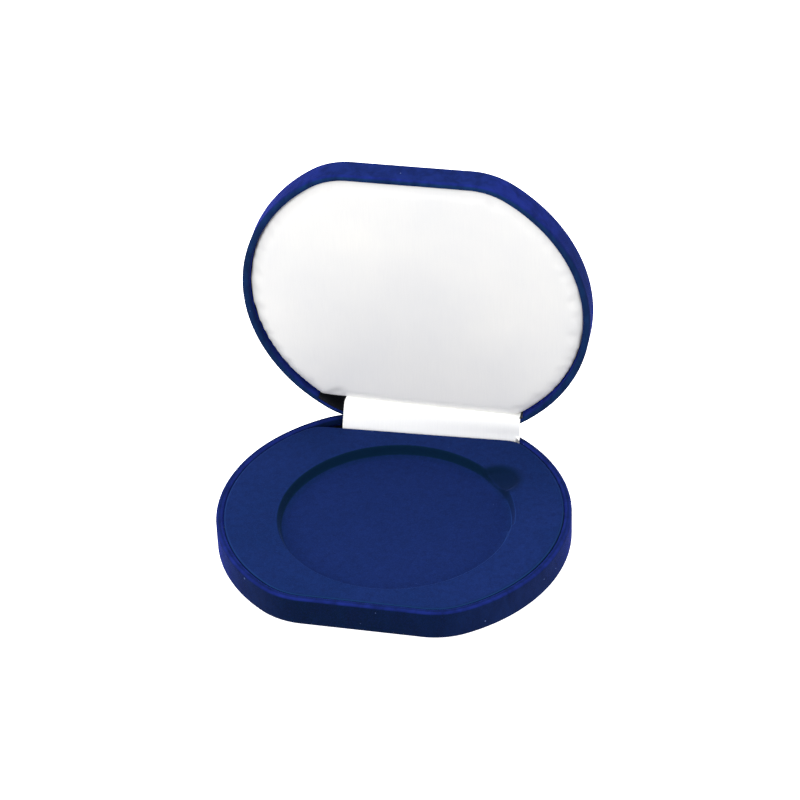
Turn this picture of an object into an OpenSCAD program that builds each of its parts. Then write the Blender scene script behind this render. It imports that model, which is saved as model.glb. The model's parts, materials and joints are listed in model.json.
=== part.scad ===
// Hinged presentation case for one medal or large coin, shown open.
// The base lies flat with its underside on z = 0; +Z is up and +X is to the right.
// The hinge runs along X at the back (+Y). The lid is modelled closed and then
// swung back to its open stop, which is the stored pose.

/* [Case] */
// Width of the case across its two bowed sides
body_w = 108.6; // [100:0.1:132]
// Depth of the case between its front and rear flats
body_d = 95.7; // [94:0.1:116]
// Length of the straight part of the front and rear flats
flat_len = 36.5; // [26:0.5:42]
// Radius that blends each flat into a bowed side
corner_r = 22.6; // [16:0.1:26]
// Height of the base from the underside to the rim
base_h = 9.9; // [9:0.1:16]
// Height of the lid from its rim to its top
lid_h = 9; // [8.4:0.1:15]
// Gap left between the two rims when the case is closed
rim_gap = 0.3; // [0.25:0.05:0.6]
// Angle the lid swings from closed to its open stop
open_angle = 84.4; // [60:0.1:90]

/* [Shells and covering] */
// Thickness of the pile fabric that covers each half
velour_t = 0.6; // [0.4:0.05:0.8]
// Thickness of the fabric where it is turned in over the rim
fold_t = 0.4; // [0.2:0.05:0.6]
// How far the turned-in fabric reaches down inside each rim
fold_len = 3; // [2:0.1:4.5]
// Width of the fabric turned under the base
hem_w = 6; // [3:0.5:10]
// Wall thickness of the moulded shells
shell_t = 1.2; // [1:0.05:1.6]
// Thickness of the panel that closes the underside
panel_t = 0.4; // [0.3:0.1:1]
// Outside rounding of both rims
rim_r = 0.8; // [0.5:0.1:0.8]
// Outside rounding of the lid's top edge
lid_edge_r = 2.2; // [1:0.1:2.6]

/* [Tray] */
// Diameter of the medal the tray is made for
medal_d = 70; // [40:0.5:72]
// Clearance between the medal and the recess wall
medal_clear = 0.5; // [0.2:0.1:1]
// Depth of the recess below the tray's face
recess_depth = 3.4; // [2:0.1:4]
// Sideways offset of the recess from the middle of the case
recess_x = 1; // [-2:0.1:2]
// Forward offset of the recess from the middle of the case
recess_forward = 2.8; // [2:0.1:4]
// Radius of the finger notch beside the recess
notch_r = 6.3; // [4:0.1:7]
// Direction of the finger notch, counted from the right towards the back
notch_angle = 38; // [30:1:48]
// Depth of the finger notch below the tray's face
notch_depth = 2.6; // [1:0.1:4]
// Extra radius of the relief between the notch and the right-hand side
relief_extra = 0.7; // [0.3:0.1:1.2]
// Thickness of the formed tray sheet
tray_t = 0.8; // [0.5:0.1:1]
// Gap between the tray's edge and the turned-in fabric
tray_gap = 0.3; // [0.2:0.05:0.6]
// Depth of the tray's face below the rim
tray_drop = 0.1; // [0:0.1:0.6]
// Rounding of the tray's outer edge
tray_edge_r = 0.7; // [0.4:0.1:0.7]
// Space kept behind the tray and the lid pad for the hinge
hinge_bay = 8.4; // [8.2:0.1:10]

/* [Lid pad] */
// Thickness of the card behind the pad
board_t = 1; // [0.6:0.1:1.4]
// Thickness of the satin over the pad
satin_t = 0.4; // [0.3:0.1:0.6]
// Depth of the pad's face inside the lid's rim
pad_drop = 1.5; // [1.2:0.1:2]
// Gap between the pad and the turned-in fabric of the lid
pad_gap = 0.4; // [0.3:0.05:0.8]
// Rounding of the pad's edge
pad_edge_r = 1.4; // [0.8:0.1:2]

/* [Hinge] */
// Height of the hinge pin above the base's rim
axis_up = 3.3; // [3.3:0.1:3.8]
// Length of the hinge
hinge_len = 46; // [30:1:46]
// Diameter of the hinge pin
pin_d = 0.8; // [0.8:0.1:1]
// Thickness of the hinge leaves
leaf_t = 0.35; // [0.3:0.01:0.4]
// Running clearance between the pin and the knuckles, on the radius
pin_clear = 0.03; // [0.02:0.01:0.06]
// Diameter of the rivet shanks
rivet_d = 1.4; // [1:0.1:1.4]
// Diameter of the rivet heads
rivet_head_d = 2.2; // [1.8:0.1:2.2]
// Distance between the two rivets of a leaf
rivet_pitch = 28; // [16:1:34]
// Length of the snap spring along the pin
spring_len = 8.6; // [4:0.1:8.8]

/* [Hinge ribbon] */
// Width of the satin ribbon over the hinge
ribbon_w = 57; // [48:0.5:58]
// Sideways offset of the ribbon from the middle of the case
ribbon_x = 3.4; // [-3.4:0.1:3.4]
// Thickness of the ribbon
ribbon_t = 0.3; // [0.2:0.05:0.4]
// Length of ribbon hidden behind the tray and behind the pad
ribbon_tail = 3.6; // [2:0.1:4]

/* [Hidden] */
$fn = 128;
edge_cuts = 4;         // chords that draw a rounded edge
blend_lap = 0.02;      // the blends stand this much proud, so they cross the flats and sides cleanly
cut = 0.05;            // how far a cutting solid reaches past what it cuts
far = 400;             // larger than the case in every direction
over = 1;              // how far a cut runs on where nothing is in its way
loose = 0.1;           // gap beside the ribbon and between two knuckles
seat = 0.05;           // clearance between a rivet and its hole, on the radius

// Outline: two bowed sides of radius side_r, two flats and four blends.
flat_half = flat_len / 2;
blend_y = body_d / 2 - corner_r;
side_r = (pow(body_w / 2 - flat_half, 2) + pow(blend_y, 2) - pow(corner_r, 2))
    / (body_w - 2 * corner_r - 2 * flat_half);
side_x = body_w / 2 - side_r;
blend_a = atan2(blend_y, flat_half - side_x);

// Insets from the outer outline.
in_shell = velour_t;
in_wall = in_shell + shell_t;
in_fold = in_wall + fold_t;
in_tray = in_fold + tray_gap;
in_pad = in_fold + pad_gap;
in_hem = in_shell + hem_w;
in_panel = 2 * velour_t;

// Levels of the base.
hem_z = panel_t;
base_floor_z = hem_z + velour_t;
base_inside_z = base_floor_z + shell_t;
base_wall_top = base_h - velour_t;
tray_z = base_h - tray_drop;
recess_z = tray_z - recess_depth;
notch_z = tray_z - notch_depth;

// Levels of the closed lid.
lid_rim_z = base_h + rim_gap;
lid_top_z = lid_rim_z + lid_h;
lid_wall_bottom = lid_rim_z + velour_t;
lid_shell_top = lid_top_z - velour_t;
lid_inside_z = lid_shell_top - shell_t;
pad_z = lid_rim_z + pad_drop;

// Rear edge of the tray and of the pad.
tray_rear_y = body_d / 2 - hinge_bay;
pad_rear_y = tray_rear_y + satin_t;

// Hinge: the leaves lie flat against the insides of the rear walls.
pin_r = pin_d / 2;
bore_r = pin_r + pin_clear;
knuckle_r = bore_r + leaf_t;
wall_y = body_d / 2 - in_wall;
axis_y = wall_y - knuckle_r;
axis_z = base_h + axis_up;
leaf_gap = 1;          // distance from the pin's axis to each leaf's full-length part
leaf_end_gap = 0.2;    // distance from a leaf's far edge to the shell beyond it
base_leaf_z = base_inside_z + 3 * leaf_end_gap;
lid_leaf_z = lid_inside_z - leaf_end_gap;
knuckles = 5;
knuckle_gap = loose;
knuckle_len = hinge_len / knuckles;
window_half = hinge_len / 2 + 1.5;    // the lid turns past the base's rim inside it
window_top = axis_z + leaf_gap + leaf_end_gap;
hinge_seat_half = hinge_len / 2 + 0.3;
base_rivet_z = (base_leaf_z + base_h) / 2;
lid_rivet_z = (window_top + lid_leaf_z) / 2;
rivet_head_t = 0.4;

// Snap spring: a strip bent round the pin.
spring_r = 1.5;
spring_t = 0.25;
spring_foot = 1.6;
spring_gap = 0.02;     // distance between the strip and a leaf's face

recess_r = medal_d / 2 + medal_clear;
notch_out = 0.7;       // distance of the notch's centre outside the recess wall
support_in = 5;        // distance of the card support's edge inside the recess wall

// Profile of a slab edge: x is the radius, y the height.
module edge_profile(r, h, top_r, bottom_r) {
    union() {
        translate([0, bottom_r]) square([r, h - top_r - bottom_r]);
        if (top_r > 0) translate([r - top_r, h - top_r]) edge_round(top_r, r - top_r);
        if (bottom_r > 0) translate([r - bottom_r, bottom_r]) scale([1, -1])
            edge_round(bottom_r, r - bottom_r);
    }
}

// The rounded corner, drawn with edge_cuts chords, and the strip from it to the axis.
module edge_round(edge_r, strip) {
    polygon(concat([[-strip, 0]], [for (i = [0 : edge_cuts])
        edge_r * [cos(90 * i / edge_cuts), sin(90 * i / edge_cuts)]], [[-strip, edge_r]]));
}

module round_disc(r, h, top_r, bottom_r) {
    if (top_r == 0 && bottom_r == 0) cylinder(r = r, h = h);
    else rotate_extrude() edge_profile(r, h, top_r, bottom_r);
}

// A slab with the case's outline drawn in by inset, from z0 to z1.
module slab(inset, z0, z1, top_r = 0, bottom_r = 0) {
    h = z1 - z0;
    reach = side_r + over;
    translate([0, 0, z0]) union() {
        for (side = [-1, 1]) scale([1, side, 1]) rotate([90, 0, 90])
            translate([0, 0, -flat_half]) linear_extrude(2 * flat_half)
                edge_profile(body_d / 2 - inset, h, top_r, bottom_r);
        for (sx = [-1, 1], sy = [-1, 1])
            translate([sx * flat_half, sy * blend_y, 0])
                round_disc(corner_r + blend_lap - inset, h, top_r, bottom_r);
        for (side = [0, 180]) rotate([0, 0, side]) intersection() {
            translate([side_x, 0, 0]) round_disc(side_r - inset, h, top_r, bottom_r, $fn = 256);
            translate([side_x, 0, -cut]) linear_extrude(h + 2 * cut)
                polygon([[0, 0], [reach, -reach * tan(blend_a)], [reach, reach * tan(blend_a)]]);
        }
    }
}

// Everything behind the plane y = y0.
module behind(y0) {
    translate([-far / 2, y0, -far / 2]) cube([far, far, far]);
}

// A block centred on x = 0.
module block(half, y0, y1, z0, z1) {
    translate([-half, y0, z0]) cube([2 * half, y1 - y0, z1 - z0]);
}

// Turns closed-lid geometry about the hinge pin to the open stop.
module open_lid() {
    translate([0, axis_y, axis_z]) rotate([-open_angle, 0, 0])
        translate([0, -axis_y, -axis_z]) children();
}

module rod(r, length, x0, y0, z0) {
    translate([x0, y0, z0]) rotate([0, 90, 0]) cylinder(r = r, h = length, $fn = 48);
}

// ---- Base ----

module base_shell() {
    color([0.05, 0.05, 0.06]) difference() {
        slab(in_shell, base_floor_z, base_wall_top);
        slab(in_wall, base_inside_z, base_wall_top + over);
        block(hinge_seat_half, axis_y, wall_y, base_leaf_z - seat, base_h);
        for (side = [-1, 1]) base_rivet(side, rivet_d / 2 + seat, 0);
    }
}

module base_cover() {
    color([0.05, 0.11, 0.38]) difference() {
        slab(0, hem_z, base_h, rim_r, velour_t);
        difference() {
            slab(in_shell, base_floor_z, base_wall_top);
            difference() {
                slab(in_wall, base_h - fold_len, base_wall_top + over);
                slab(in_fold, base_h - fold_len - over, base_h);
            }
        }
        slab(in_fold, base_wall_top - cut, base_h + over);
        slab(in_hem, hem_z - over, base_floor_z + cut);
        block(hinge_seat_half, axis_y - knuckle_r - over, wall_y + cut,
            base_h - fold_len - over, base_h + over);
    }
}

module base_underside() {
    color([0.04, 0.05, 0.12]) union() {
        slab(in_panel, 0, panel_t);
        slab(in_hem + tray_gap, panel_t - cut, base_floor_z);
    }
}

// The sheet's recess, grown by grow on the sides and lowered by drop.
module recess_form(grow, drop, top) {
    translate([recess_x, -recess_forward, 0]) {
        translate([0, 0, recess_z - drop])
            cylinder(r = recess_r + grow, h = top - recess_z + drop, $fn = 256);
        rotate([0, 0, notch_angle]) translate([recess_r + notch_out, 0, notch_z - drop])
            cylinder(r = notch_r + grow, h = top - notch_z + drop, $fn = 64);
        intersection() {
            translate([0, 0, recess_z - drop])
                cylinder(r = recess_r + relief_extra + grow, h = top - recess_z + drop, $fn = 256);
            linear_extrude(far) polygon([[0, 0], [far / 2, 0],
                [far / 2 * cos(notch_angle), far / 2 * sin(notch_angle)]]);
        }
    }
}

module tray_insert() {
    color([0.08, 0.16, 0.44]) difference() {
        slab(in_tray, base_inside_z, tray_z, tray_edge_r);
        behind(tray_rear_y);
        difference() {
            slab(in_tray + tray_t, base_inside_z - over, tray_z - tray_t);
            behind(tray_rear_y - tray_t);
            recess_form(tray_t, tray_t, tray_z);
        }
        recess_form(0, 0, tray_z + over);
    }
}

module recess_support() {
    color([0.75, 0.75, 0.72]) translate([recess_x, -recess_forward, base_inside_z])
        cylinder(r = recess_r - support_in, h = recess_z - tray_t - base_inside_z);
}

// ---- Hinge ----

// Knuckles and full-length part of one leaf; up is 1 for the lid, -1 for the base.
module leaf(up, first, edge_z) {
    difference() {
        union() {
            for (i = [first : 2 : knuckles - 1]) {
                x0 = -hinge_len / 2 + i * knuckle_len + knuckle_gap / 2;
                rod(knuckle_r, knuckle_len - knuckle_gap, x0, axis_y, axis_z);
                translate([x0, axis_y + bore_r, up > 0 ? axis_z : axis_z - leaf_gap - cut])
                    cube([knuckle_len - knuckle_gap, leaf_t, leaf_gap + cut]);
            }
            z_near = axis_z + up * leaf_gap;
            block(hinge_len / 2 - knuckle_gap / 2, axis_y + bore_r, axis_y + knuckle_r,
                min(z_near, edge_z), max(z_near, edge_z));
        }
        rod(bore_r, hinge_len + 2 * over, -hinge_len / 2 - over, axis_y, axis_z);
        for (side = [-1, 1])
            if (up > 0) lid_rivet(side, rivet_d / 2 + seat, 0);
            else base_rivet(side, rivet_d / 2 + seat, 0);
    }
}

// A rivet through a leaf and a rear wall; head_r of 0 leaves the head off.
module rivet(side, z0, shank_r, head_r) {
    y0 = axis_y + bore_r;
    y1 = body_d / 2 - in_shell;
    reach = head_r > 0 ? 0 : cut;
    translate([side * rivet_pitch / 2, 0, z0]) {
        translate([0, y0 - reach, 0]) rotate([-90, 0, 0])
            cylinder(r = shank_r, h = y1 - y0 + 2 * reach, $fn = 32);
        if (head_r > 0) translate([0, y0 - rivet_head_t, 0]) rotate([-90, 0, 0])
            cylinder(r = head_r, h = rivet_head_t, $fn = 32);
    }
}

module base_rivet(side, shank_r, head_r) {
    rivet(side, base_rivet_z, shank_r, head_r);
}

module lid_rivet(side, shank_r, head_r) {
    rivet(side, lid_rivet_z, shank_r, head_r);
}

module base_hinge_leaf() {
    color([0.55, 0.56, 0.58]) leaf(-1, 0, base_leaf_z);
}

module base_hinge_rivets() {
    color([0.7, 0.7, 0.72]) for (side = [-1, 1]) base_rivet(side, rivet_d / 2, rivet_head_d / 2);
}

module hinge_pin() {
    color([0.7, 0.7, 0.72]) rod(pin_r, hinge_len, -hinge_len / 2, axis_y, axis_z);
}

// A strip bent from the base leaf round the pin to the open lid leaf.
module hinge_spring() {
    outer_r = spring_r + spring_t;
    face_y = bore_r - spring_gap;
    foot_a = asin((face_y - spring_gap) / outer_r);
    low_a = foot_a - 90;
    high_a = 90 - open_angle - foot_a;
    reach = 3 * outer_r;
    color([0.62, 0.63, 0.65]) translate([-spring_len / 2, axis_y, axis_z]) rotate([90, 0, 90])
        union() {
            difference() {
                cylinder(r = outer_r, h = spring_len, $fn = 96);
                translate([0, 0, -cut]) cylinder(r = spring_r, h = spring_len + 2 * cut, $fn = 96);
                translate([0, 0, -cut]) linear_extrude(spring_len + 2 * cut)
                    polygon([[0, 0], [reach * cos(low_a), reach * sin(low_a)],
                        [reach * cos(high_a), reach * sin(high_a)]]);
            }
            translate([face_y - spring_t, -outer_r - spring_foot, 0])
                cube([spring_t, spring_foot + spring_t, spring_len]);
        }
}

// ---- Ribbon ----

// Straight run of ribbon between two points given as [y, z].
module ribbon_run(p, q) {
    run = norm(q - p);
    slope = atan2(q[1] - p[1], q[0] - p[0]);
    translate([ribbon_x - ribbon_w / 2, p[0], p[1]]) rotate([slope, 0, 0])
        translate([0, 0, -ribbon_t / 2]) cube([ribbon_w, run, ribbon_t]);
}

// Where a closed-lid point [y, z] lies when the lid is open.
function opened(p) = [
    axis_y + (p[0] - axis_y) * cos(open_angle) + (p[1] - axis_z) * sin(open_angle),
    axis_z - (p[0] - axis_y) * sin(open_angle) + (p[1] - axis_z) * cos(open_angle)];

module hinge_ribbon() {
    behind_tray = tray_rear_y + ribbon_t / 2 + loose;
    behind_pad = pad_rear_y + ribbon_t / 2 + loose;
    path = [[behind_tray, tray_z - ribbon_tail], [behind_tray, tray_z],
        opened([behind_pad, lid_rim_z - ribbon_t]), opened([behind_pad, pad_z + ribbon_tail])];
    color([0.93, 0.93, 0.94]) union() {
        for (i = [0 : 2]) ribbon_run(path[i], path[i + 1]);
        for (i = [1 : 2])
            rod(ribbon_t / 2, ribbon_w, ribbon_x - ribbon_w / 2, path[i][0], path[i][1]);
    }
}

// ---- Lid ----

module lid_window() {
    block(window_half, axis_y - knuckle_r - over, far, lid_rim_z - over, window_top);
}

module lid_shell() {
    color([0.05, 0.05, 0.06]) open_lid() difference() {
        slab(in_shell, lid_wall_bottom, lid_shell_top, lid_edge_r - velour_t);
        slab(in_wall, lid_wall_bottom - over, lid_inside_z);
        block(hinge_seat_half, axis_y, wall_y, lid_rim_z, lid_leaf_z + seat);
        lid_window();
        for (side = [-1, 1]) lid_rivet(side, rivet_d / 2 + seat, 0);
    }
}

module lid_cover() {
    color([0.05, 0.11, 0.38]) open_lid() difference() {
        slab(0, lid_rim_z, lid_top_z, lid_edge_r, rim_r);
        difference() {
            slab(in_shell, lid_wall_bottom, lid_shell_top, lid_edge_r - velour_t);
            difference() {
                slab(in_wall, lid_wall_bottom - over, lid_rim_z + fold_len);
                slab(in_fold, lid_rim_z, lid_rim_z + fold_len + over);
            }
        }
        slab(in_fold, lid_rim_z - over, lid_wall_bottom + cut);
        lid_window();
    }
}

module lid_hinge_leaf() {
    color([0.55, 0.56, 0.58]) open_lid() leaf(1, 1, lid_leaf_z);
}

module lid_hinge_rivets() {
    color([0.7, 0.7, 0.72]) open_lid()
        for (side = [-1, 1]) lid_rivet(side, rivet_d / 2, rivet_head_d / 2);
}

module pad_board() {
    color([0.8, 0.79, 0.75]) open_lid() difference() {
        slab(in_pad + satin_t, lid_inside_z - board_t, lid_inside_z);
        behind(pad_rear_y - satin_t);
    }
}

module pad_foam() {
    color([0.9, 0.88, 0.8]) open_lid() difference() {
        slab(in_pad + satin_t, pad_z + satin_t, lid_inside_z - board_t, 0,
            pad_edge_r - satin_t);
        behind(pad_rear_y - satin_t);
    }
}

module pad_satin() {
    color([0.94, 0.94, 0.95]) open_lid() difference() {
        slab(in_pad, pad_z, lid_inside_z, 0, pad_edge_r);
        behind(pad_rear_y);
        difference() {
            slab(in_pad + satin_t, pad_z + satin_t, lid_inside_z + over, 0,
                pad_edge_r - satin_t);
            behind(pad_rear_y - satin_t);
        }
    }
}

base_shell();
base_cover();
base_underside();
tray_insert();
recess_support();
base_hinge_leaf();
base_hinge_rivets();
hinge_pin();
hinge_spring();
hinge_ribbon();
lid_shell();
lid_cover();
lid_hinge_leaf();
lid_hinge_rivets();
pad_board();
pad_foam();
pad_satin();
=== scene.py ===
import json
import math
import bpy
import numpy as np
from mathutils import Matrix, Vector


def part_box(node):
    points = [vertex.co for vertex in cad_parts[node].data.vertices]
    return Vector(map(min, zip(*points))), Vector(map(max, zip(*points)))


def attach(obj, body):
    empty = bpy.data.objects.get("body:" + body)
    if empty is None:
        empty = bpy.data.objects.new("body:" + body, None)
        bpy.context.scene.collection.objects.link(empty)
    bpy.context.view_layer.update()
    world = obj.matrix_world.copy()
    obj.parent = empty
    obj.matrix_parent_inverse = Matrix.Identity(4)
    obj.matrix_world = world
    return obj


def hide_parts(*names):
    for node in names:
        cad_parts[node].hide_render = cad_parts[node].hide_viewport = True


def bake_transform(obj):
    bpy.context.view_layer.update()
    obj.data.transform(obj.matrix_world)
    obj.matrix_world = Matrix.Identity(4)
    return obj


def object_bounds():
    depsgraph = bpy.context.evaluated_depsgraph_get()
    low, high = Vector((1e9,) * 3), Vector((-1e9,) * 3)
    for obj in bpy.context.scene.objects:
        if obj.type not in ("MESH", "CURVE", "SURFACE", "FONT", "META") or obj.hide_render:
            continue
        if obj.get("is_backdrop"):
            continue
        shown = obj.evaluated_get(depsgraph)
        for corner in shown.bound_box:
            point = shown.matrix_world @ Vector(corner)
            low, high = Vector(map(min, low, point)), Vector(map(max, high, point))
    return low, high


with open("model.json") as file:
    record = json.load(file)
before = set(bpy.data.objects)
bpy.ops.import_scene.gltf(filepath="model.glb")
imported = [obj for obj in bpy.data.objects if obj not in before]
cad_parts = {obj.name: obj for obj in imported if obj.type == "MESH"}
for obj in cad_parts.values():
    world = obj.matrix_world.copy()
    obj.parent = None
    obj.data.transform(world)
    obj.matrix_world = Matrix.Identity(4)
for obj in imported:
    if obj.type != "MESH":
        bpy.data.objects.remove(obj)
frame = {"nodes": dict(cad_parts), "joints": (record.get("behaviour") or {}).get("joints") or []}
cad_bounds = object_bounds()

# Velvet-covered presentation case, standing open. Lengths in the builders below are in
# millimetres (MM turns them into the frame's metres), lengths in the materials are in
# metres. The lid's pieces are drawn closed and then swung open about the hinge, as the
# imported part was.
MM = 0.001
CM = 10                  # the cloths' maps are in centimetres

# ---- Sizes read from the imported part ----
joint = frame["joints"][0]
AXIS_Y = joint["pos_m"][1] / MM
AXIS_Z = joint["pos_m"][2] / MM
OPEN = math.radians(joint["range_deg"][1])
cover_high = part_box("base_cover")[1]
tray_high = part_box("tray_insert")[1]
ribbon_low, ribbon_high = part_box("hinge_ribbon")
HALF_W = cover_high.x / MM
HALF_D = cover_high.y / MM
BASE_TOP = cover_high.z / MM
TRAY_Z = tray_high.z / MM
TRAY_REAR = tray_high.y / MM
RIBBON_X0 = ribbon_low.x / MM
RIBBON_X1 = ribbon_high.x / MM

# ---- Sizes of the form: as in the part, but for the rolls on the rims, the tray, the pad
# and the notch, which follow the photographed case a little closer ----
FLAT_HALF = 18.25        # half of the straight front and rear
CORNER_R = 22.6          # blend between a flat and a bowed side
HEM_Z = 0.4              # height of the hem's lower face
HEM_IN = 6.6             # and how far it reaches in below the base
VELOUR = 0.6             # thickness of the pile fabric
SHELL = 1.2
FOLD_LEN = 3.0           # depth of the fabric turned in over a rim
ROLL_HALF, ROLL_H = 1.12, 1.05       # half width and height of the soft roll on a rim
ROLL_STEPS = 19
BARE_LIP = 1.25          # width of the roll where the fabric isn't turned in
RIM_GAP = 0.3
LID_H = 9.0
LID_EDGE_R = 2.2
TRAY_IN = 2.3            # from the case's outline in to the tray's edge
PAD_IN = 2.0             # and to the pad's
PAD_DROP = 1.5
PAD_OVER = 0.95          # and its rear edge lies so far behind the part's
HINGE_HALF = 23.3        # half of the leaf seats in the rear walls
WINDOW_HALF = 24.5
WINDOW_TOP = 14.4
RECESS_X, RECESS_Y, RECESS_R, RECESS_DEPTH = 1.0, -2.8, 35.5, 3.4
RELIEF = 0.7
NOTCH_R, NOTCH_A, NOTCH_OUT, NOTCH_DEPTH = 6.6, math.radians(39.5), 0.7, 2.5
STATION = 0.55           # distance between stations round the case

# The tray and the pad were glued in slightly askew: how far their rear edges move back per
# millimetre to the right, and where they lie as in the part.
TRAY_SKEW, TRAY_SKEW_X = 0.037, -19.0
PAD_SKEW, PAD_SKEW_X = 0.0192, -38.0

LID_RIM = BASE_TOP + RIM_GAP
LID_TOP = LID_RIM + LID_H
LID_INSIDE = LID_TOP - VELOUR - SHELL
PAD_Z = LID_RIM + PAD_DROP
PAD_REAR = TRAY_REAR + 0.4

BLEND_Y = HALF_D - CORNER_R
SIDE_R = ((HALF_W - FLAT_HALF) ** 2 + BLEND_Y ** 2 - CORNER_R ** 2) / (
    2 * (HALF_W - CORNER_R - FLAT_HALF))
SIDE_X = HALF_W - SIDE_R
BLEND_A = math.atan2(BLEND_Y, FLAT_HALF - SIDE_X)


# ---- Outline of the case ----
def outline(step, extra_x=()):
    """Stations round the case, counter-clockwise from the right: x, y and the outward
    normal. extra_x are places on the rear where a station is wanted."""
    arcs = [
        ("arc", SIDE_X, 0, SIDE_R, -BLEND_A, BLEND_A),
        ("arc", FLAT_HALF, BLEND_Y, CORNER_R, BLEND_A, math.pi / 2),
        ("line", FLAT_HALF, HALF_D, -FLAT_HALF, HALF_D),
        ("arc", -FLAT_HALF, BLEND_Y, CORNER_R, math.pi / 2, math.pi - BLEND_A),
        ("arc", -SIDE_X, 0, SIDE_R, math.pi - BLEND_A, math.pi + BLEND_A),
        ("arc", -FLAT_HALF, -BLEND_Y, CORNER_R, math.pi + BLEND_A, 1.5 * math.pi),
        ("line", -FLAT_HALF, -HALF_D, FLAT_HALF, -HALF_D),
        ("arc", FLAT_HALF, -BLEND_Y, CORNER_R, 1.5 * math.pi, 2 * math.pi - BLEND_A),
    ]
    rows = []
    for a in arcs:
        if a[0] == "arc":
            _, cx, cy, r, a0, a1 = a
            n = max(2, round(r * (a1 - a0) / step))
            ang = list(a0 + (a1 - a0) * np.arange(n) / n)
            for x in extra_x:
                if cy > 0 and abs(x - cx) < r and x * cx > 0:
                    extra = math.acos((x - cx) / r)
                    if a0 < extra < a1:
                        ang.append(extra)
            for t in sorted(ang):
                rows.append((cx + r * math.cos(t), cy + r * math.sin(t), math.cos(t), math.sin(t)))
        else:
            _, x0, y0, x1, _ = a
            n = round(abs(x1 - x0) / step)
            ny = 1 if y0 > 0 else -1
            for i in range(n):
                rows.append((x0 + (x1 - x0) * i / n, y0, 0, ny))
    return np.array(rows, float)


def depth_inside(x, y):
    """Distance inwards from the outline."""
    ax, ay = np.abs(x), np.abs(y)
    flat = HALF_D - ay
    side = SIDE_R - np.hypot(ax - SIDE_X, ay)
    dx, dy = ax - FLAT_HALF, ay - BLEND_Y
    corner = CORNER_R - np.hypot(dx, dy)
    in_corner = (dx > 0) & (np.arctan2(dy, dx) > BLEND_A)
    return np.where(in_corner, corner, np.minimum(flat, side))


def soft_min(a, b, r):
    """The smaller of two distances, rounded where they are alike within r."""
    h = np.maximum(r - np.abs(a - b), 0) / r
    return np.minimum(a, b) - h * h * r / 4


def smooth(t):
    t = np.clip(t, 0, 1)
    return t * t * (3 - 2 * t)


# ---- Mesh helpers ----
def make_mesh(name, verts, faces, uv=None):
    mesh = bpy.data.meshes.new(name)
    mesh.from_pydata([tuple(v) for v in np.asarray(verts) * MM], [], [tuple(f) for f in faces])
    if uv is not None:
        layer = mesh.uv_layers.new(name="cloth")
        idx = np.zeros(len(mesh.loops), np.int32)
        mesh.loops.foreach_get("vertex_index", idx)
        layer.data.foreach_set("uv", np.asarray(uv, np.float32)[idx].ravel())
    mesh.validate()
    mesh.polygons.foreach_set("use_smooth", [True] * len(mesh.polygons))
    mesh.update()
    obj = bpy.data.objects.new(name, mesh)
    bpy.context.scene.collection.objects.link(obj)
    return obj


def swing_open(v):
    """Closed-lid points to where they are with the lid open."""
    v = np.array(v, float)
    y, z = v[:, 1] - AXIS_Y, v[:, 2] - AXIS_Z
    c, s = math.cos(-OPEN), math.sin(-OPEN)
    v[:, 1] = AXIS_Y + y * c - z * s
    v[:, 2] = AXIS_Z + y * s + z * c
    return v


def lattice(x, y, z, seed):
    """Smooth value noise in three dimensions, about -1 to 1."""
    cells = 16
    table = np.random.default_rng(seed).uniform(-1, 1, (cells, cells, cells))
    xi, yi, zi = np.floor(x).astype(int), np.floor(y).astype(int), np.floor(z).astype(int)
    u, v, w = smooth(x - xi), smooth(y - yi), smooth(z - zi)
    out = 0
    for i in (0, 1):
        for j in (0, 1):
            for k in (0, 1):
                weight = (u if i else 1 - u) * (v if j else 1 - v) * (w if k else 1 - w)
                out = out + weight * table[(xi + i) % cells, (yi + j) % cells, (zi + k) % cells]
    return out


def swells(x, y, z, shift, seed):
    """Unevenness of a glued pile fabric; shift moves its slow part and seed picks both."""
    slow = lattice(x / 9 + shift[0], y / 9 + shift[1], z / 5, seed)
    quick = lattice(x / 3, y / 3, z / 3, seed + 1)
    return slow * 0.05 + quick * 0.02


def arc_points(cu, cz, ru, rz, a0, a1, n):
    """Points on an ellipse arc of a profile, in (inset, height)."""
    t = np.radians(np.linspace(a0, a1, n))
    return [(cu + ru * math.cos(a), cz + rz * math.sin(a)) for a in t]


def ring_faces(rows, cols, wrap_rows=False, turned=False, first=0):
    """Quads between rows of a profile and the cols stations of a closed outline. turned
    quads face the other way, and first is the number of the first row's first point."""
    faces = []
    for j in range(rows if wrap_rows else rows - 1):
        a, b = first + j * cols, first + ((j + 1) % rows) * cols
        for i in range(cols):
            k = (i + 1) % cols
            faces.append((a + i, b + i, b + k, a + k) if turned else (a + i, a + k, b + k, b + i))
    return faces


def reach(edge, x, y, c, s, inset):
    """How far out from x, y the directions c, s go to come within inset of an edge, which
    is a function that gives the distance inwards from it."""
    lo, hi = np.full(len(c), 10.0), np.full(len(c), 70.0)
    for _ in range(40):
        mid = (lo + hi) / 2
        inside = edge(x + mid * c, y + mid * s) > inset
        lo, hi = np.where(inside, mid, lo), np.where(inside, hi, mid)
    return lo


def spread(profile, stations):
    """The insets and heights of a profile's points, repeated for each station."""
    u, z = np.array(profile, float).T
    shape = (len(profile), stations)
    return np.broadcast_to(u[:, None], shape).copy(), np.broadcast_to(z[:, None], shape).copy()


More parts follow.
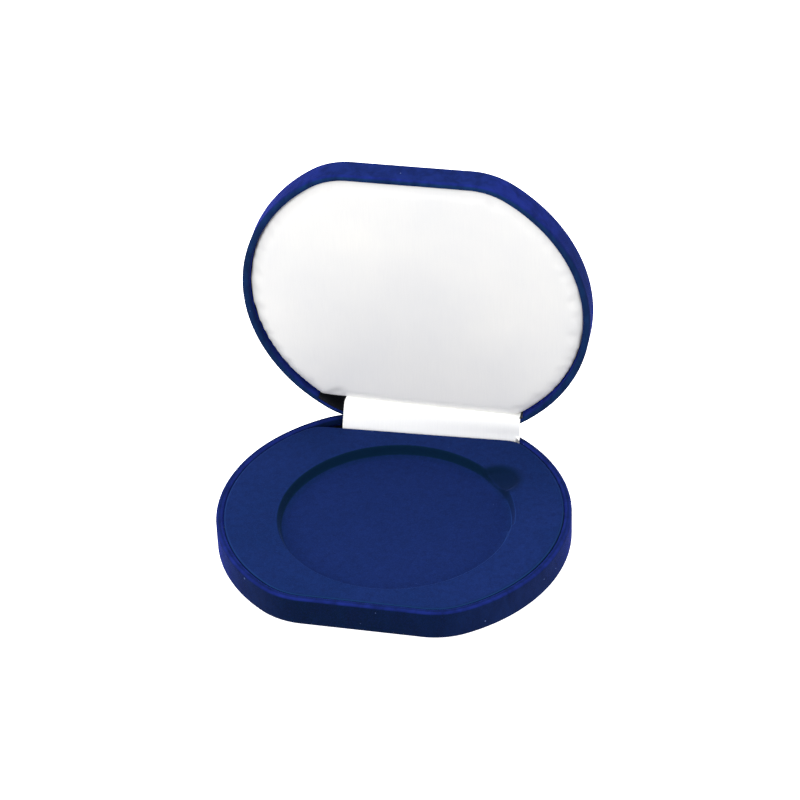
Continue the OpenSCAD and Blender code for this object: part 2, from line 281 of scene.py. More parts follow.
# ---- Velvet of the base ----
def base_velvet():
    st = outline(STATION, (-HINGE_HALF, -HINGE_HALF + 0.1, HINGE_HALF - 0.1, HINGE_HALF))
    wall_top = BASE_TOP - ROLL_H
    shell_edge = BASE_TOP - 0.75
    # from the hem out, up the wall, over the rim and back down the fabric's inner side
    profile = [(HEM_IN, HEM_Z), (HEM_IN - 3.1, HEM_Z)]
    profile += arc_points(VELOUR, HEM_Z + VELOUR, -VELOUR, VELOUR, -90, 0, 7)
    profile += [(0.0, z) for z in np.linspace(HEM_Z + 2 * VELOUR, wall_top - 0.3, 12)]
    profile += arc_points(ROLL_HALF, wall_top, -ROLL_HALF, ROLL_H, 0, 180, ROLL_STEPS)
    profile += [(2 * ROLL_HALF, wall_top - 1.0), (2 * ROLL_HALF, BASE_TOP - FOLD_LEN),
                (VELOUR + SHELL, BASE_TOP - FOLD_LEN), (VELOUR + SHELL, shell_edge),
                (VELOUR, shell_edge), (VELOUR, HEM_Z + VELOUR + 0.02), (HEM_IN, HEM_Z + VELOUR)]
    x, y, nx, ny = (st[:, i][None, :] for i in range(4))
    u, z = spread(profile, len(st))
    # at the hinge the fabric isn't turned in
    at_hinge = (np.abs(x) < HINGE_HALF) & (y > 0)
    u = np.where(at_hinge & (z > 2), np.minimum(u, VELOUR + SHELL - 0.05), u)
    # the roll and the wall aren't quite even
    seen = (u < 2 * ROLL_HALF + 0.06) & (z > 1.2)
    inner_side = np.where(u > 2, 0.3, 1.0)
    u = u - np.where(seen & ~at_hinge, swells(x, y, z, (3, 5), 1) * inner_side * 0.6, 0)
    u = np.maximum(u, 0.0)
    lift = lattice(x / 12 + 1, y / 12 + 2, z * 0, 3) * 0.05
    z = z + np.where(seen & (z > wall_top), lift - 0.05, 0)
    verts = np.stack([x - nx * u, y - ny * u, z], -1).reshape(-1, 3)
    return make_mesh("base_velvet", verts, ring_faces(len(profile), len(st), wrap_rows=True))


# ---- Velvet of the lid ----
LID_FOLD_LEFT, LID_FOLD_RIGHT = 34.2, 33.6      # the fold starts this far out beside the hinge
TOP_RINGS = (0.97, 0.9, 0.8, 0.66, 0.5, 0.33, 0.16)      # the outline, shrunk towards its middle


def shrunk(ring):
    """A closed ring's copies that fill in what it encloses."""
    return [ring * (s, s, 1) for s in TOP_RINGS]


def lid_velvet():
    w = WINDOW_HALF
    st = outline(STATION, (-w - 0.05, -w + 0.05, w - 0.05, w + 0.05))
    er = LID_EDGE_R
    wall_low = LID_RIM + ROLL_H
    # from behind the turned-in fold, round the rim, up the wall and onto the top
    outer = [(VELOUR + SHELL, LID_RIM + FOLD_LEN), (2 * ROLL_HALF, LID_RIM + FOLD_LEN),
             (2 * ROLL_HALF, wall_low + 0.8)]
    outer += arc_points(ROLL_HALF, wall_low, ROLL_HALF, -ROLL_H, 0, 180, ROLL_STEPS)
    outer += [(0.0, z) for z in np.linspace(wall_low + 0.4, LID_TOP - er - 0.3, 11)]
    outer += arc_points(er, LID_TOP - er, -er, er, 0, 90, 10)
    # and the fabric's inner side
    inner = [(VELOUR + SHELL, LID_RIM + 0.75), (VELOUR, LID_RIM + 0.75), (VELOUR, LID_TOP - er),
             (VELOUR + 0.5, LID_TOP - VELOUR - 0.5), (er, LID_TOP - VELOUR)]
    x, y, nx, ny = (st[:, i][None, :] for i in range(4))
    at_window = (np.abs(x) < w) & (y > 0)
    plain_edge = (y > 0) & (x > -LID_FOLD_LEFT) & (x < LID_FOLD_RIGHT) & ~at_window

    def shell(points, uneven):
        u, z = spread(points, len(st))
        # at the window the wall starts higher up and has no fold
        rise = WINDOW_TOP - LID_RIM
        low = np.clip((z - LID_RIM) / (LID_TOP - er - LID_RIM), 0, 1)
        z = np.where(at_window, np.maximum(z + rise * (1 - low), WINDOW_TOP), z)
        deepest = np.where(z > LID_TOP - er - 0.1, np.inf, VELOUR + SHELL)
        u = np.where(at_window, np.minimum(u, deepest), u)
        # beside it the shell's edge is bare
        turned_in = plain_edge & (u > BARE_LIP) & (z < LID_RIM + FOLD_LEN + 0.5)
        u = np.where(turned_in, BARE_LIP + (u - BARE_LIP) / 4, u)
        z = np.where(turned_in, np.minimum(z, LID_RIM + 1.5), z)
        if uneven:
            seen = (u < 2 * ROLL_HALF + 0.06) & (z > LID_RIM + 0.1) & ~at_window
            u = np.maximum(u - np.where(seen, swells(x, y, z, (7, 1), 4) * 0.6, 0), 0)
        return np.stack([x - nx * u, y - ny * u, z], -1)

    outside = list(shell(outer, True))
    for ring in shrunk(outside[-1]):
        ring[:, 2] += lattice(ring[:, 0] / 14, ring[:, 1] / 14, ring[:, 2] * 0, 6) * 0.03 - 0.03
        outside.append(ring)
    inside = list(shell(inner, False))
    inside += shrunk(inside[-1])
    cols = len(st)
    off = len(outside) * cols
    faces = ring_faces(len(outside), cols)
    faces += ring_faces(len(inside), cols, turned=True, first=off)
    for i in range(cols):
        k = (i + 1) % cols
        faces.append((i, off + i, off + k, k))
    faces.append(tuple(off - cols + i for i in range(cols)))
    faces.append(tuple(off + (len(inside) - 1) * cols + i for i in reversed(range(cols))))
    verts = np.concatenate([np.concatenate(outside), np.concatenate(inside)])
    return make_mesh("lid_velvet", swing_open(verts), faces)


# ---- Flocked tray ----
NOTCH_AT = (RECESS_X + (RECESS_R + NOTCH_OUT) * math.cos(NOTCH_A),
            RECESS_Y + (RECESS_R + NOTCH_OUT) * math.sin(NOTCH_A))


def tray_height(x, y):
    """Height of the tray's face, with its recess, notch and relief."""
    dx, dy = x - RECESS_X, y - RECESS_Y
    r = np.hypot(dx, dy)
    ang = np.arctan2(dy, dx)
    # the relief runs from a step at the right up to the notch
    grow = RELIEF * smooth((ang - math.radians(0.5)) / math.radians(2.2)) \
        * smooth((NOTCH_A + 0.02 - ang) / 0.16)
    q = RECESS_R + grow - r
    wall = RECESS_DEPTH * (0.85 * smooth((q + 0.55) / 1.45) ** 0.9 + 0.15 * smooth((q + 0.3) / 3.5))
    qn = NOTCH_R - np.hypot(x - NOTCH_AT[0], y - NOTCH_AT[1])
    dish = NOTCH_DEPTH * (0.45 * smooth((qn + 0.6) / 2.6) + 0.55 * smooth((qn + 0.6) / 6.5))
    dip = -soft_min(-wall, -dish, 0.9)
    return TRAY_Z - np.clip(dip, 0, None)


def tray_edge(x, y):
    """Distance inwards from the tray's own edge."""
    rear = TRAY_REAR + TRAY_SKEW * (np.clip(x, -32, 32) - TRAY_SKEW_X)
    return soft_min(depth_inside(x, y) - TRAY_IN, rear - y, 2.0)


# inset and drop of the rings down the tray's rolled edge and skirt
TRAY_ROLL = ((1.25, 0.0), (0.95, 0.02), (0.7, 0.06), (0.48, 0.14), (0.3, 0.27),
             (0.15, 0.45), (0.06, 0.66), (0.01, 0.95), (0.0, 1.5), (0.0, 3.5))
TRAY_SAG = 0.04          # the sheet's unevenness stays below the height it has in the part


def flocked_tray():
    n = 720
    ang = np.linspace(0, 2 * math.pi, n, endpoint=False)
    c, s = np.cos(ang), np.sin(ang)

    def ring(r, drop=0.0):
        x, y = RECESS_X + r * c, RECESS_Y + r * s
        uneven = lattice(x / 16, y / 16, x * 0, 11) * 0.05 + lattice(x / 5, y / 5, x * 0, 12) * 0.015
        return np.stack([x, y, tray_height(x, y) - drop + uneven - TRAY_SAG], -1)

    def edge_ring(inset):
        return reach(tray_edge, RECESS_X, RECESS_Y, c, s, inset)

    # the rings lie closest on the recess's wall
    steps = np.concatenate([np.linspace(1.5, 28, 24), np.arange(29.2, 34.4, 0.4),
                            np.arange(34.5, 37.4, 0.14), np.arange(37.6, 38.2, 0.3)])
    last, edge = steps[-1], edge_ring(1.6)
    rings = [ring(r) for r in steps]
    rings += [ring(last + (edge - last) * t) for t in np.linspace(0, 1, 22)[1:]]
    rings += [ring(edge_ring(inset), drop) for inset, drop in TRAY_ROLL]
    faces = ring_faces(len(rings), n, turned=True)
    middle = len(rings) * n
    faces += [(middle, i, (i + 1) % n) for i in range(n)]
    centre = (RECESS_X, RECESS_Y, tray_height(RECESS_X, RECESS_Y) - TRAY_SAG)
    return make_mesh("tray_flock", np.concatenate(rings + [[centre]]), faces)


# ---- Satin pad ----
def pad_edge(x, y):
    """Distance inwards from the pad's own edge."""
    rear = PAD_REAR + PAD_OVER + PAD_SKEW * (np.clip(x, -32, 30) - PAD_SKEW_X)
    return soft_min(depth_inside(x, y) - PAD_IN, rear - y, 1.6)


PAD_INSET = 0.25         # the form before its cloth is blown up lies so far inside that edge
PAD_ROUND = 0.8
PAD_CELLS = 220


def pad_form():
    """Closed form of the pad: a face, a rounded edge and a flat back, as a grid of rings."""
    n = PAD_CELLS
    ang = np.linspace(0, 2 * math.pi, n, endpoint=False)
    c, s = np.cos(ang), np.sin(ang)

    def out_to(inset):
        return reach(pad_edge, 0, 0, c, s, inset)

    face_z, back_z, broken = PAD_Z, LID_INSIDE - 0.05, 0.3
    side, face, back = out_to(PAD_INSET), out_to(PAD_INSET + PAD_ROUND), out_to(PAD_INSET + broken)
    rings = [(face * t, face_z) for t in np.linspace(0.04, 1, 34)]
    for a in np.radians(np.linspace(12, 90, 8)):
        rings.append((out_to(PAD_INSET + PAD_ROUND * (1 - math.sin(a))),
                      face_z + PAD_ROUND * (1 - math.cos(a))))
    rings += [(side, (face_z + back_z) / 2), (side, back_z - broken)]
    rings += [(back * t, back_z) for t in np.linspace(1, 0.04, 16)]
    verts = np.concatenate([np.stack([r * c, r * s, np.full(n, z)], -1) for r, z in rings])
    faces = [f[::-1] for f in ring_faces(len(rings), n)]
    faces.append(tuple(range(n)))
    faces.append(tuple((len(rings) - 1) * n + i for i in reversed(range(n))))
    return verts, faces


SIM_SCALE = 10.0         # the cloth solver works better on a piece ten times the size
SIM_VOXEL = 0.012        # in metres at that size
SIM_FRAMES = 20
HELD_DEPTH = 2.6         # the cloth is held this far up from the lid's inside
PAD_RISE = 0.45          # the filling stops the cloth: it rises at most so far
PAD_SLIDE = 0.05         # and slides at most so far sideways


def inflated(verts, faces):
    """The pad's form after cloth simulation with pressure inside and its back held."""
    mesh = bpy.data.meshes.new("pad_sim")
    mesh.from_pydata([tuple(v) for v in verts * MM * SIM_SCALE], [], [tuple(f) for f in faces])
    mesh.update()
    obj = bpy.data.objects.new("pad_sim", mesh)
    bpy.context.scene.collection.objects.link(obj)
    remesh = obj.modifiers.new("remesh", "REMESH")
    remesh.mode = "VOXEL"
    remesh.voxel_size = SIM_VOXEL
    remesh.use_smooth_shade = True
    graph = bpy.context.evaluated_depsgraph_get()
    fine = bpy.data.meshes.new_from_object(obj.evaluated_get(graph))
    obj.modifiers.clear()
    obj.data = fine
    start = np.zeros(len(fine.vertices) * 3)
    fine.vertices.foreach_get("co", start)
    start = start.reshape(-1, 3)
    held = obj.vertex_groups.new(name="held")
    back = (LID_INSIDE - HELD_DEPTH) * MM * SIM_SCALE
    held.add([int(i) for i in np.nonzero(start[:, 2] > back)[0]], 1.0, "REPLACE")
    cloth = obj.modifiers.new("cloth", "CLOTH")
    cs = cloth.settings
    cs.quality = 5
    cs.mass = 0.3
    cs.tension_stiffness = cs.compression_stiffness = 12
    cs.shear_stiffness = 4
    cs.bending_stiffness = 0.6
    cs.use_pressure = True
    cs.uniform_pressure_force = 4.0
    cs.vertex_group_mass = "held"
    cs.effector_weights.gravity = 0
    scene = bpy.context.scene
    scene.frame_start, scene.frame_end = 1, SIM_FRAMES
    cloth.point_cache.frame_start, cloth.point_cache.frame_end = 1, SIM_FRAMES
    for f in range(1, SIM_FRAMES + 1):
        scene.frame_set(f)
    graph = bpy.context.evaluated_depsgraph_get()
    done = bpy.data.meshes.new_from_object(obj.evaluated_get(graph))
    end = np.zeros(len(done.vertices) * 3)
    done.vertices.foreach_get("co", end)
    end = end.reshape(-1, 3)
    quads = [tuple(p.vertices) for p in done.polygons]
    bpy.data.objects.remove(obj)
    scene.frame_set(1)
    move = (end - start) / (MM * SIM_SCALE)
    return start / (MM * SIM_SCALE), move, quads


def satin_pad():
    verts, faces = pad_form()
    verts, move, faces = inflated(verts, faces)
    rise = PAD_RISE * np.tanh(-move[:, 2] / PAD_RISE)
    side = np.hypot(move[:, 0], move[:, 1])[:, None]
    sideways = move[:, :2] * np.minimum(PAD_SLIDE / np.maximum(side, 1e-9), 1)
    verts = verts + np.concatenate([sideways, -rise[:, None]], 1)
    x, y, z = verts.T
    d = pad_edge(x, y)
    # pulled cloth: short gathers at the edge, broad unevenness further in
    face_depth = 1.6
    face = smooth((PAD_Z + face_depth - z) / face_depth)
    along = np.arctan2(y, x) * 48            # roughly the distance round the pad
    gathers = (0.035 * lattice(along / 5.4, d / 7, x * 0, 21)
               + 0.015 * lattice(along / 2.3, d / 5, x * 0, 22))
    gathers = gathers * np.exp(-np.clip(d, 0, None) / 3.2)
    broad = (0.10 * lattice(x / 17 + 4, y / 23 + 9, x * 0, 23)
             + 0.03 * lattice(x / 6, y / 11, x * 0, 24))
    z = z + face * (gathers + broad * smooth(d / 8))
    uv = np.stack([x, y], -1) / CM
    obj = make_mesh("pad_cloth", swing_open(np.stack([x, y, z], -1)), faces, uv)
    sub = obj.modifiers.new("smooth", "SUBSURF")
    sub.levels = sub.render_levels = 1
    return obj


# ---- Ribbon ----
RIBBON_TAPER = 0.016     # share of its width that it loses from tray to pad
RIBBON_T = 0.22
RIBBON_BOW = 0.22        # how far its free stretch bows towards the front
SELVEDGE = 1.6           # width of the stretch along each edge that is drawn finer


def opened_yz(y, z):
    p = swing_open(np.array([[0.0, y, z]]))[0]
    return p[1], p[2]


def ribbon_path():
    """The ribbon's line in (y, z), from behind the tray to behind the pad."""
    y0 = TRAY_REAR + 0.3
    low, mid = (y0, TRAY_Z - 3.2), (y0 + 0.05, TRAY_Z - 0.2)
    upper = opened_yz(PAD_REAR + 0.3, LID_RIM - 0.15)
    end = opened_yz(PAD_REAR + 0.3, PAD_Z + 3.2)
    pts = [np.array(low), np.array(mid)]
    a, b = np.array(mid), np.array(upper)
    ahead = np.array([-(b - a)[1], (b - a)[0]])
    ahead = ahead / np.linalg.norm(ahead)
    if ahead[0] > 0:
        ahead = -ahead
    for t in np.linspace(0, 1, 25)[1:]:
        pts.append(a + (b - a) * t + ahead * RIBBON_BOW * math.sin(math.pi * t))
    for t in np.linspace(0, 1, 8)[1:]:
        pts.append(b + (np.array(end) - b) * t)
    return np.array(pts), np.array(mid), np.array(upper)


def satin_ribbon():
    path, start, end = ribbon_path()
    # rounded where it turns
    for _ in range(2):
        q = path.copy()
        q[1:-1] = path[1:-1] * 0.6 + (path[:-2] + path[2:]) * 0.2
        path = q
    seg = np.hypot(*np.diff(path, axis=0).T)
    s = np.concatenate([[0], np.cumsum(seg)])
    tangent = np.gradient(path, axis=0)
    tangent /= np.linalg.norm(tangent, axis=1)[:, None]
    normal = np.stack([-tangent[:, 1], tangent[:, 0]], -1)   # towards the front
    left, right = RIBBON_X0 + SELVEDGE, RIBBON_X1 - SELVEDGE
    cols = np.concatenate([np.linspace(RIBBON_X0, left, 9), np.linspace(left, right, 90)[1:-1],
                           np.linspace(right, RIBBON_X1, 9)])
    half = (RIBBON_X1 - RIBBON_X0) / 2
    mid_x = (RIBBON_X0 + RIBBON_X1) / 2
    rows = len(path)
    layers = []
    uv = []
    opened_rear = (math.cos(-OPEN), math.sin(-OPEN))     # where the pad's rear lies, lid open
    for side in (1, -1):
        for j in range(rows):
            x = cols
            edge = np.clip((half - np.abs(x - mid_x)) / 1.2, 0, 1)
            t = s[j] / s[-1]
            ripple = 0.05 * lattice(x / 5, x * 0 + s[j] / 12, x * 0, 31) \
                + 0.05 * lattice(x / 14, x * 0 + s[j] / 9, x * 0, 32)
            curl = 0.10 * (1 - edge) ** 2
            # the selvedge is a little thicker than the cloth
            half_t = RIBBON_T / 2 * (1 + 0.35 * (np.abs(edge - 0.35) < 0.3))
            off = ripple * math.sin(math.pi * t) + curl + side * half_t
            narrow = 1 - RIBBON_TAPER * t
            # it follows the tray's skew below and the pad's above
            low = 1 - smooth((t - 0.15) / 0.6)
            askew = low * TRAY_SKEW * (x - TRAY_SKEW_X)
            up = (1 - low) * PAD_SKEW * (x - PAD_SKEW_X)
            y = path[j, 0] + normal[j, 0] * off + askew + up * opened_rear[0]
            # and its lower corner stays inside the base's rim
            beyond = np.clip(x - FLAT_HALF, 0, None)
            rim = BLEND_Y + np.sqrt((CORNER_R - TRAY_IN) ** 2 - beyond ** 2)
            y = np.where(path[j, 1] < BASE_TOP + 0.6, np.minimum(y, rim), y)
            layers.append(np.stack([
                RIBBON_X1 - (RIBBON_X1 - x) * narrow, y,
                path[j, 1] + normal[j, 1] * off + up * opened_rear[1]], -1))
            uv.append(np.stack([x, np.full(len(x), s[j])], -1) / CM)
    # both faces of the cloth, its two long edges and its two ends; o leads to the rear face
    n = len(cols)
    o = rows * n
    faces = []
    for j in range(rows - 1):
        for i in range(n - 1):
            a, b = j * n + i, (j + 1) * n + i
            faces.append((a, a + 1, b + 1, b))
            faces.append((o + a, o + b, o + b + 1, o + a + 1))
        a, b = j * n, (j + 1) * n
        faces.append((a, b, o + b, o + a))
        a, b = a + n - 1, b + n - 1
        faces.append((a, o + a, o + b, b))
    for i in range(n - 1):
        faces.append((i, o + i, o + i + 1, i + 1))
        a = (rows - 1) * n + i
        faces.append((a, a + 1, o + a + 1, o + a))
    cloth = make_mesh("hinge_satin", np.concatenate(layers), faces, np.concatenate(uv))
    return cloth, start, end, float(s[-1])


# ---- Snap spring ----
SPRING_R, SPRING_T, SPRING_LEN, SPRING_FOOT = 1.625, 0.25, 8.6, 1.6
SPRING_FACE = 0.285                     # distance of its foot's middle behind the pin's axis


def snap_spring():
    """A strip from the base's leaf round the pin to the lid's leaf."""
    ends = np.radians(np.linspace(-79, -366, 90))
    foot = [(SPRING_FACE, z) for z in np.linspace(-SPRING_R - SPRING_FOOT, -SPRING_R - 0.02, 6)]
    path = np.array(foot + [(SPRING_R * math.cos(a), SPRING_R * math.sin(a)) for a in ends])
    tangent = np.gradient(path, axis=0)
    tangent /= np.linalg.norm(tangent, axis=1)[:, None]
    normal = np.stack([-tangent[:, 1], tangent[:, 0]], -1)
    # a section with its edges broken, carried along the path
    half, t, b = SPRING_LEN / 2, SPRING_T / 2, 0.06
    section = [(-half + b, -t), (half - b, -t), (half, -t + b), (half, t - b),
               (half - b, t), (-half + b, t), (-half, t - b), (-half, -t + b)]
    verts = [(sx, AXIS_Y + y + ny * sn, AXIS_Z + z + nz * sn)
             for (y, z), (ny, nz) in zip(path, normal) for sx, sn in section]
    n, rows = len(section), len(path)
    faces = ring_faces(rows, n)
    faces.append(tuple(reversed(range(n))))
    faces.append(tuple((rows - 1) * n + i for i in range(n)))
    return make_mesh("snap_spring", verts, faces)


# ---- Materials ----
class Look:
    """A material with a small set of helpers for building its nodes."""

    def __init__(self, name):
        self.mat = bpy.data.materials.new(name)
        self.mat.use_nodes = True
        self.tree = self.mat.node_tree
        self.tree.nodes.clear()
        self.out = self.tree.nodes.new("ShaderNodeOutputMaterial")
        self.shader = self.tree.nodes.new("ShaderNodeBsdfPrincipled")
        self.tree.links.new(self.shader.outputs[0], self.out.inputs[0])
        coord = self.tree.nodes.new("ShaderNodeTexCoord")
        self.object = coord.outputs["Object"]
        self.uv = coord.outputs["UV"]
        self.normal = coord.outputs["Normal"]

    def set(self, **values):
        for key, value in values.items():
            self.shader.inputs[key.replace("_", " ")].default_value = value

    def link(self, a, b):
        self.tree.links.new(a, b)

    def node(self, kind, values=None, **settings):
        n = self.tree.nodes.new(kind)
        for key, value in settings.items():
            setattr(n, key, value)
        for key, value in (values or {}).items():
            if isinstance(value, bpy.types.NodeSocket):
                self.link(value, n.inputs[key])
            else:
                n.inputs[key].default_value = value
        return n

    def noise(self, where, scale, detail=2, rough=0.5, distort=0.0, stretch=None):
        if stretch:
            where = self.node("ShaderNodeMapping", {"Vector": where, "Scale": stretch}).outputs[0]
        n = self.node("ShaderNodeTexNoise", {"Vector": where, "Scale": scale, "Detail": detail,
                                             "Roughness": rough, "Distortion": distort})
        return n.outputs["Fac"]

    def ramp(self, fac, low, high):
        """Between two colours, each given with the value of fac that it stands for."""
        n = self.node("ShaderNodeValToRGB", {"Fac": fac})
        for element, (position, colour) in zip(n.color_ramp.elements, (low, high)):
            element.position = position
            element.color = (*colour, 1)
        return n.outputs["Color"]

    def span(self, value, low, high, to_low, to_high):
        return self.node("ShaderNodeMapRange", {"Value": value, "From Min": low, "From Max": high,
                                                "To Min": to_low, "To Max": to_high}).outputs[0]

    def math(self, op, a, b=None):
        vals = {0: a} if b is None else {0: a, 1: b}
        return self.node("ShaderNodeMath", vals, operation=op).outputs[0]

    def mix(self, fac, a, b):
        """From colour a to colour b; inputs 6 and 7 are the node's two colours."""
        n = self.node("ShaderNodeMix", {0: fac}, data_type="RGBA")
        for index, value in ((6, a), (7, b)):
            if isinstance(value, bpy.types.NodeSocket):
                self.link(value, n.inputs[index])
            else:
                n.inputs[index].default_value = (*value, 1)
        return n.outputs[2]

    def bump(self, height, strength, distance, before=None):
        n = self.node("ShaderNodeBump", {"Height": height, "Strength": strength,
                                         "Distance": distance})
        if before is not None:
            self.link(before, n.inputs["Normal"])
        return n.outputs[0]

    def distance(self, where, x, y):
        """How far a point lies from the upright line through x, y (given in millimetres)."""
        flat = self.node("ShaderNodeMapping", {"Vector": where, "Scale": (1, 1, 0)}).outputs[0]
        n = self.node("ShaderNodeVectorMath", {0: flat, 1: (x * MM, y * MM, 0)},
                      operation="DISTANCE")
        return n.outputs["Value"]

    def specks(self, where, scale, size, share):
        """Small soft dots: one in each cell of a scattered grid, kept for a share of cells."""
        v = self.node("ShaderNodeTexVoronoi", {"Vector": where, "Scale": scale, "Randomness": 1.0})
        near = self.span(v.outputs["Distance"], size * 0.5, size, 1, 0)
        red = self.node("ShaderNodeSeparateColor", {"Color": v.outputs["Color"]}).outputs[0]
        return self.math("MULTIPLY", near, self.math("GREATER_THAN", red, 1 - share))


def srgb(r, g, b):
    def one(v):
        v = v / 255
        return v / 12.92 if v <= 0.04045 else ((v + 0.055) / 1.055) ** 2.4
    return (one(r), one(g), one(b))


def velvet_look(name, facing, upright):
    """Pile fabric with painted sheen and shade; facing is the colour painted on faces turned to the
    front, faces turned to the sides get another painted colour, and an upright piece shows that
    colour on its upper edge too."""
    m = Look(name)
    patch = m.noise(m.object, 55, 3, 0.6)
    nap = m.noise(m.object, 300, 3, 0.6, 0.3, (1, 1, 0.5))
    pile = m.noise(m.object, 3600, 2, 0.7)
    # painted sheen and shade: faces turned to the sides (on an upright piece, away from the front)
    # get another colour, and slopes that look up a painted highlight
    axes = m.node("ShaderNodeSeparateXYZ", {"Vector": m.normal}).outputs
    if upright:
        side = m.span(axes[1], -0.95, -0.5, 0, 1)
    else:
        side = m.span(m.math("ABSOLUTE", axes[0]), 0.15, 0.85, 0, 1)
    # lit: a painted highlight on slopes that look up, such as the rim's roll
    lit = m.math("MULTIPLY", m.span(axes[2], 0.25, 0.6, 0, 1),
                 m.span(axes[2], 0.9, 1.0, 1, 0.45))
    colour = m.mix(side, facing, srgb(14, 32, 76))
    colour = m.mix(m.math("MULTIPLY", lit, 0.8), colour, srgb(26, 38, 118))
    colour = m.mix(m.span(patch, 0.3, 0.7, 0.0, 0.35), colour, srgb(6, 24, 66))
    colour = m.mix(m.span(nap, 0.38, 0.66, 0.0, 0.5), colour, srgb(2, 12, 38))
    colour = m.mix(m.span(pile, 0.45, 0.75, 0.0, 0.5), colour, srgb(14, 34, 92))
    dust = m.specks(m.object, 420, 0.11, 0.06)
    lint = m.specks(m.object, 190, 0.075, 0.12)
    dirt = m.math("MAXIMUM", dust, lint)
    colour = m.mix(m.math("MULTIPLY", dirt, 0.6), colour, srgb(110, 132, 190))
    m.link(colour, m.shader.inputs["Base Color"])
    m.link(m.span(nap, 0.3, 0.7, 0.5, 0.8), m.shader.inputs["Sheen Weight"])
    m.set(Roughness=0.95, Sheen_Roughness=0.22, Sheen_Tint=(*srgb(34, 54, 200), 1),
          Specular_IOR_Level=0.05)
    b = m.bump(nap, 0.35, 0.0004)
    m.link(m.bump(pile, 0.55, 0.00018, b), m.shader.inputs["Normal"])
    return m.mat


def flock_look():
    """Short upright fibres, with painted shade on upright faces turned to the front or the right,
    and in the notch.
    """
    m = Look("flock")
    from_recess = m.distance(m.object, RECESS_X, RECESS_Y)
    from_notch = m.distance(m.object, *NOTCH_AT)
    patch = m.noise(m.object, 38, 4, 0.6, 0.4)
    mottle = m.noise(m.object, 560, 4, 0.7)
    grain = m.noise(m.object, 3400, 2, 0.7)
    colour = m.ramp(patch, (0.32, srgb(9, 30, 74)), (0.68, srgb(15, 33, 82)))
    # the recess's floor is mixed towards a slightly darker, more purple blue
    colour = m.mix(m.span(from_recess, 0.033, 0.035, 0.6, 0.0), colour, srgb(12, 27, 75))
    colour = m.mix(m.span(mottle, 0.38, 0.66, 0.0, 0.55), colour, srgb(9, 22, 60))
    colour = m.mix(m.span(grain, 0.45, 0.75, 0.0, 0.6), colour, srgb(22, 43, 96))
    # painted shade: steep faces that look to the front or the right are darkened, such as the
    # recess's back wall
    axes = m.node("ShaderNodeSeparateXYZ", {"Vector": m.normal}).outputs
    back_left = m.math("SUBTRACT", axes[1], m.math("MULTIPLY", axes[0], 0.7))
    steep_painted_shade = m.span(m.math("ADD", axes[2], back_left), 0.1, 0.97, 0.85, 0.0)
    colour = m.mix(steep_painted_shade, colour, srgb(1, 24, 40))
    # the tray's outer edge and the recess's near lip catch the light, but not at the notch
    outer_edge = m.span(from_recess, 0.040, 0.041, 0, 0.6)
    away = m.math("MULTIPLY", m.span(from_notch, 0.007, 0.009, 0, 1),
                  m.math("MAXIMUM", outer_edge, m.span(back_left, 0.05, 0.35, 0, 1)))
    edge = m.math("MULTIPLY", m.span(axes[2], 0.55, 0.8, 0, 1),
                  m.span(axes[2], 0.86, 0.985, 1, 0))
    bright = m.math("MULTIPLY", m.math("MULTIPLY", edge, away), 0.55)
    colour = m.mix(bright, colour, srgb(34, 66, 128))
    # painted shade in the notch's hollow
    notch_painted_shade = m.math("MULTIPLY", m.span(from_notch, 0.0056, 0.0086, 0.85, 0.0),
                      m.span(from_recess, 0.0338, 0.0362, 0, 1))
    colour = m.mix(notch_painted_shade, colour, srgb(4, 21, 46))
    dust = m.specks(m.object, 380, 0.05, 0.03)
    colour = m.mix(m.math("MULTIPLY", dust, 0.4), colour, srgb(96, 120, 180))
    m.link(colour, m.shader.inputs["Base Color"])
    m.link(m.span(mottle, 0.3, 0.7, 0.10, 0.20), m.shader.inputs["Sheen Weight"])
    m.set(Roughness=0.98, Sheen_Roughness=0.35, Sheen_Tint=(*srgb(80, 110, 215), 1),
          Specular_IOR_Level=0.05)
    b = m.bump(mottle, 0.15, 0.0003)
    m.link(m.bump(grain, 0.4, 0.00012, b), m.shader.inputs["Normal"])
    return m.mat


def satin_look(name, thread, tone_a, tone_b):
    """Woven satin; thread is the number of threads in a centimetre of the cloth's map."""
    m = Look(name)

    def threads(scale, wobble, direction):
        return m.node("ShaderNodeTexWave", {"Vector": m.uv, "Scale": scale, "Distortion": wobble,
                                            "Detail": 2, "Detail Scale": 2.0},
                      wave_type="BANDS", bands_direction=direction).outputs["Fac"]

    warp = threads(thread / 6.2832, 0.6, "X")
    weft = threads(thread / 9.0, 0.5, "Y")
    slub = m.noise(m.uv, 1.6, 3, 0.6, 0.0, (14, 0.7, 1))
    soft = m.noise(m.object, 26, 3, 0.55)
    colour = m.ramp(soft, (0.3, tone_a), (0.7, tone_b))
    colour = m.mix(m.span(slub, 0.35, 0.75, 0.0, 0.10), colour, srgb(205, 205, 212))
    m.link(colour, m.shader.inputs["Base Color"])
    m.link(m.span(slub, 0.3, 0.7, 0.38, 0.5), m.shader.inputs["Roughness"])
    m.set(Sheen_Weight=0.25, Sheen_Roughness=0.4, Specular_IOR_Level=0.45, Anisotropic=0.35)
    weave = m.math("ADD", m.math("MULTIPLY", warp, 0.7), m.math("MULTIPLY", weft, 0.3))
    b = m.bump(weave, 0.12, 0.00006)
    m.link(m.bump(slub, 0.10, 0.0002, b), m.shader.inputs["Normal"])
    return m.mat


def plastic_look():
    m = Look("black_plastic")
    haze = m.noise(m.object, 240, 3, 0.6)
    scratch = m.noise(m.object, 90, 4, 0.7, 0.0, (1, 12, 1))
    colour = m.ramp(haze, (0.3, srgb(14, 15, 18)), (0.7, srgb(26, 28, 33)))
    m.link(colour, m.shader.inputs["Base Color"])
    m.link(m.span(scratch, 0.3, 0.7, 0.24, 0.42), m.shader.inputs["Roughness"])
    m.set(Specular_IOR_Level=0.5)
    m.link(m.bump(haze, 0.08, 0.0003), m.shader.inputs["Normal"])
    return m.mat


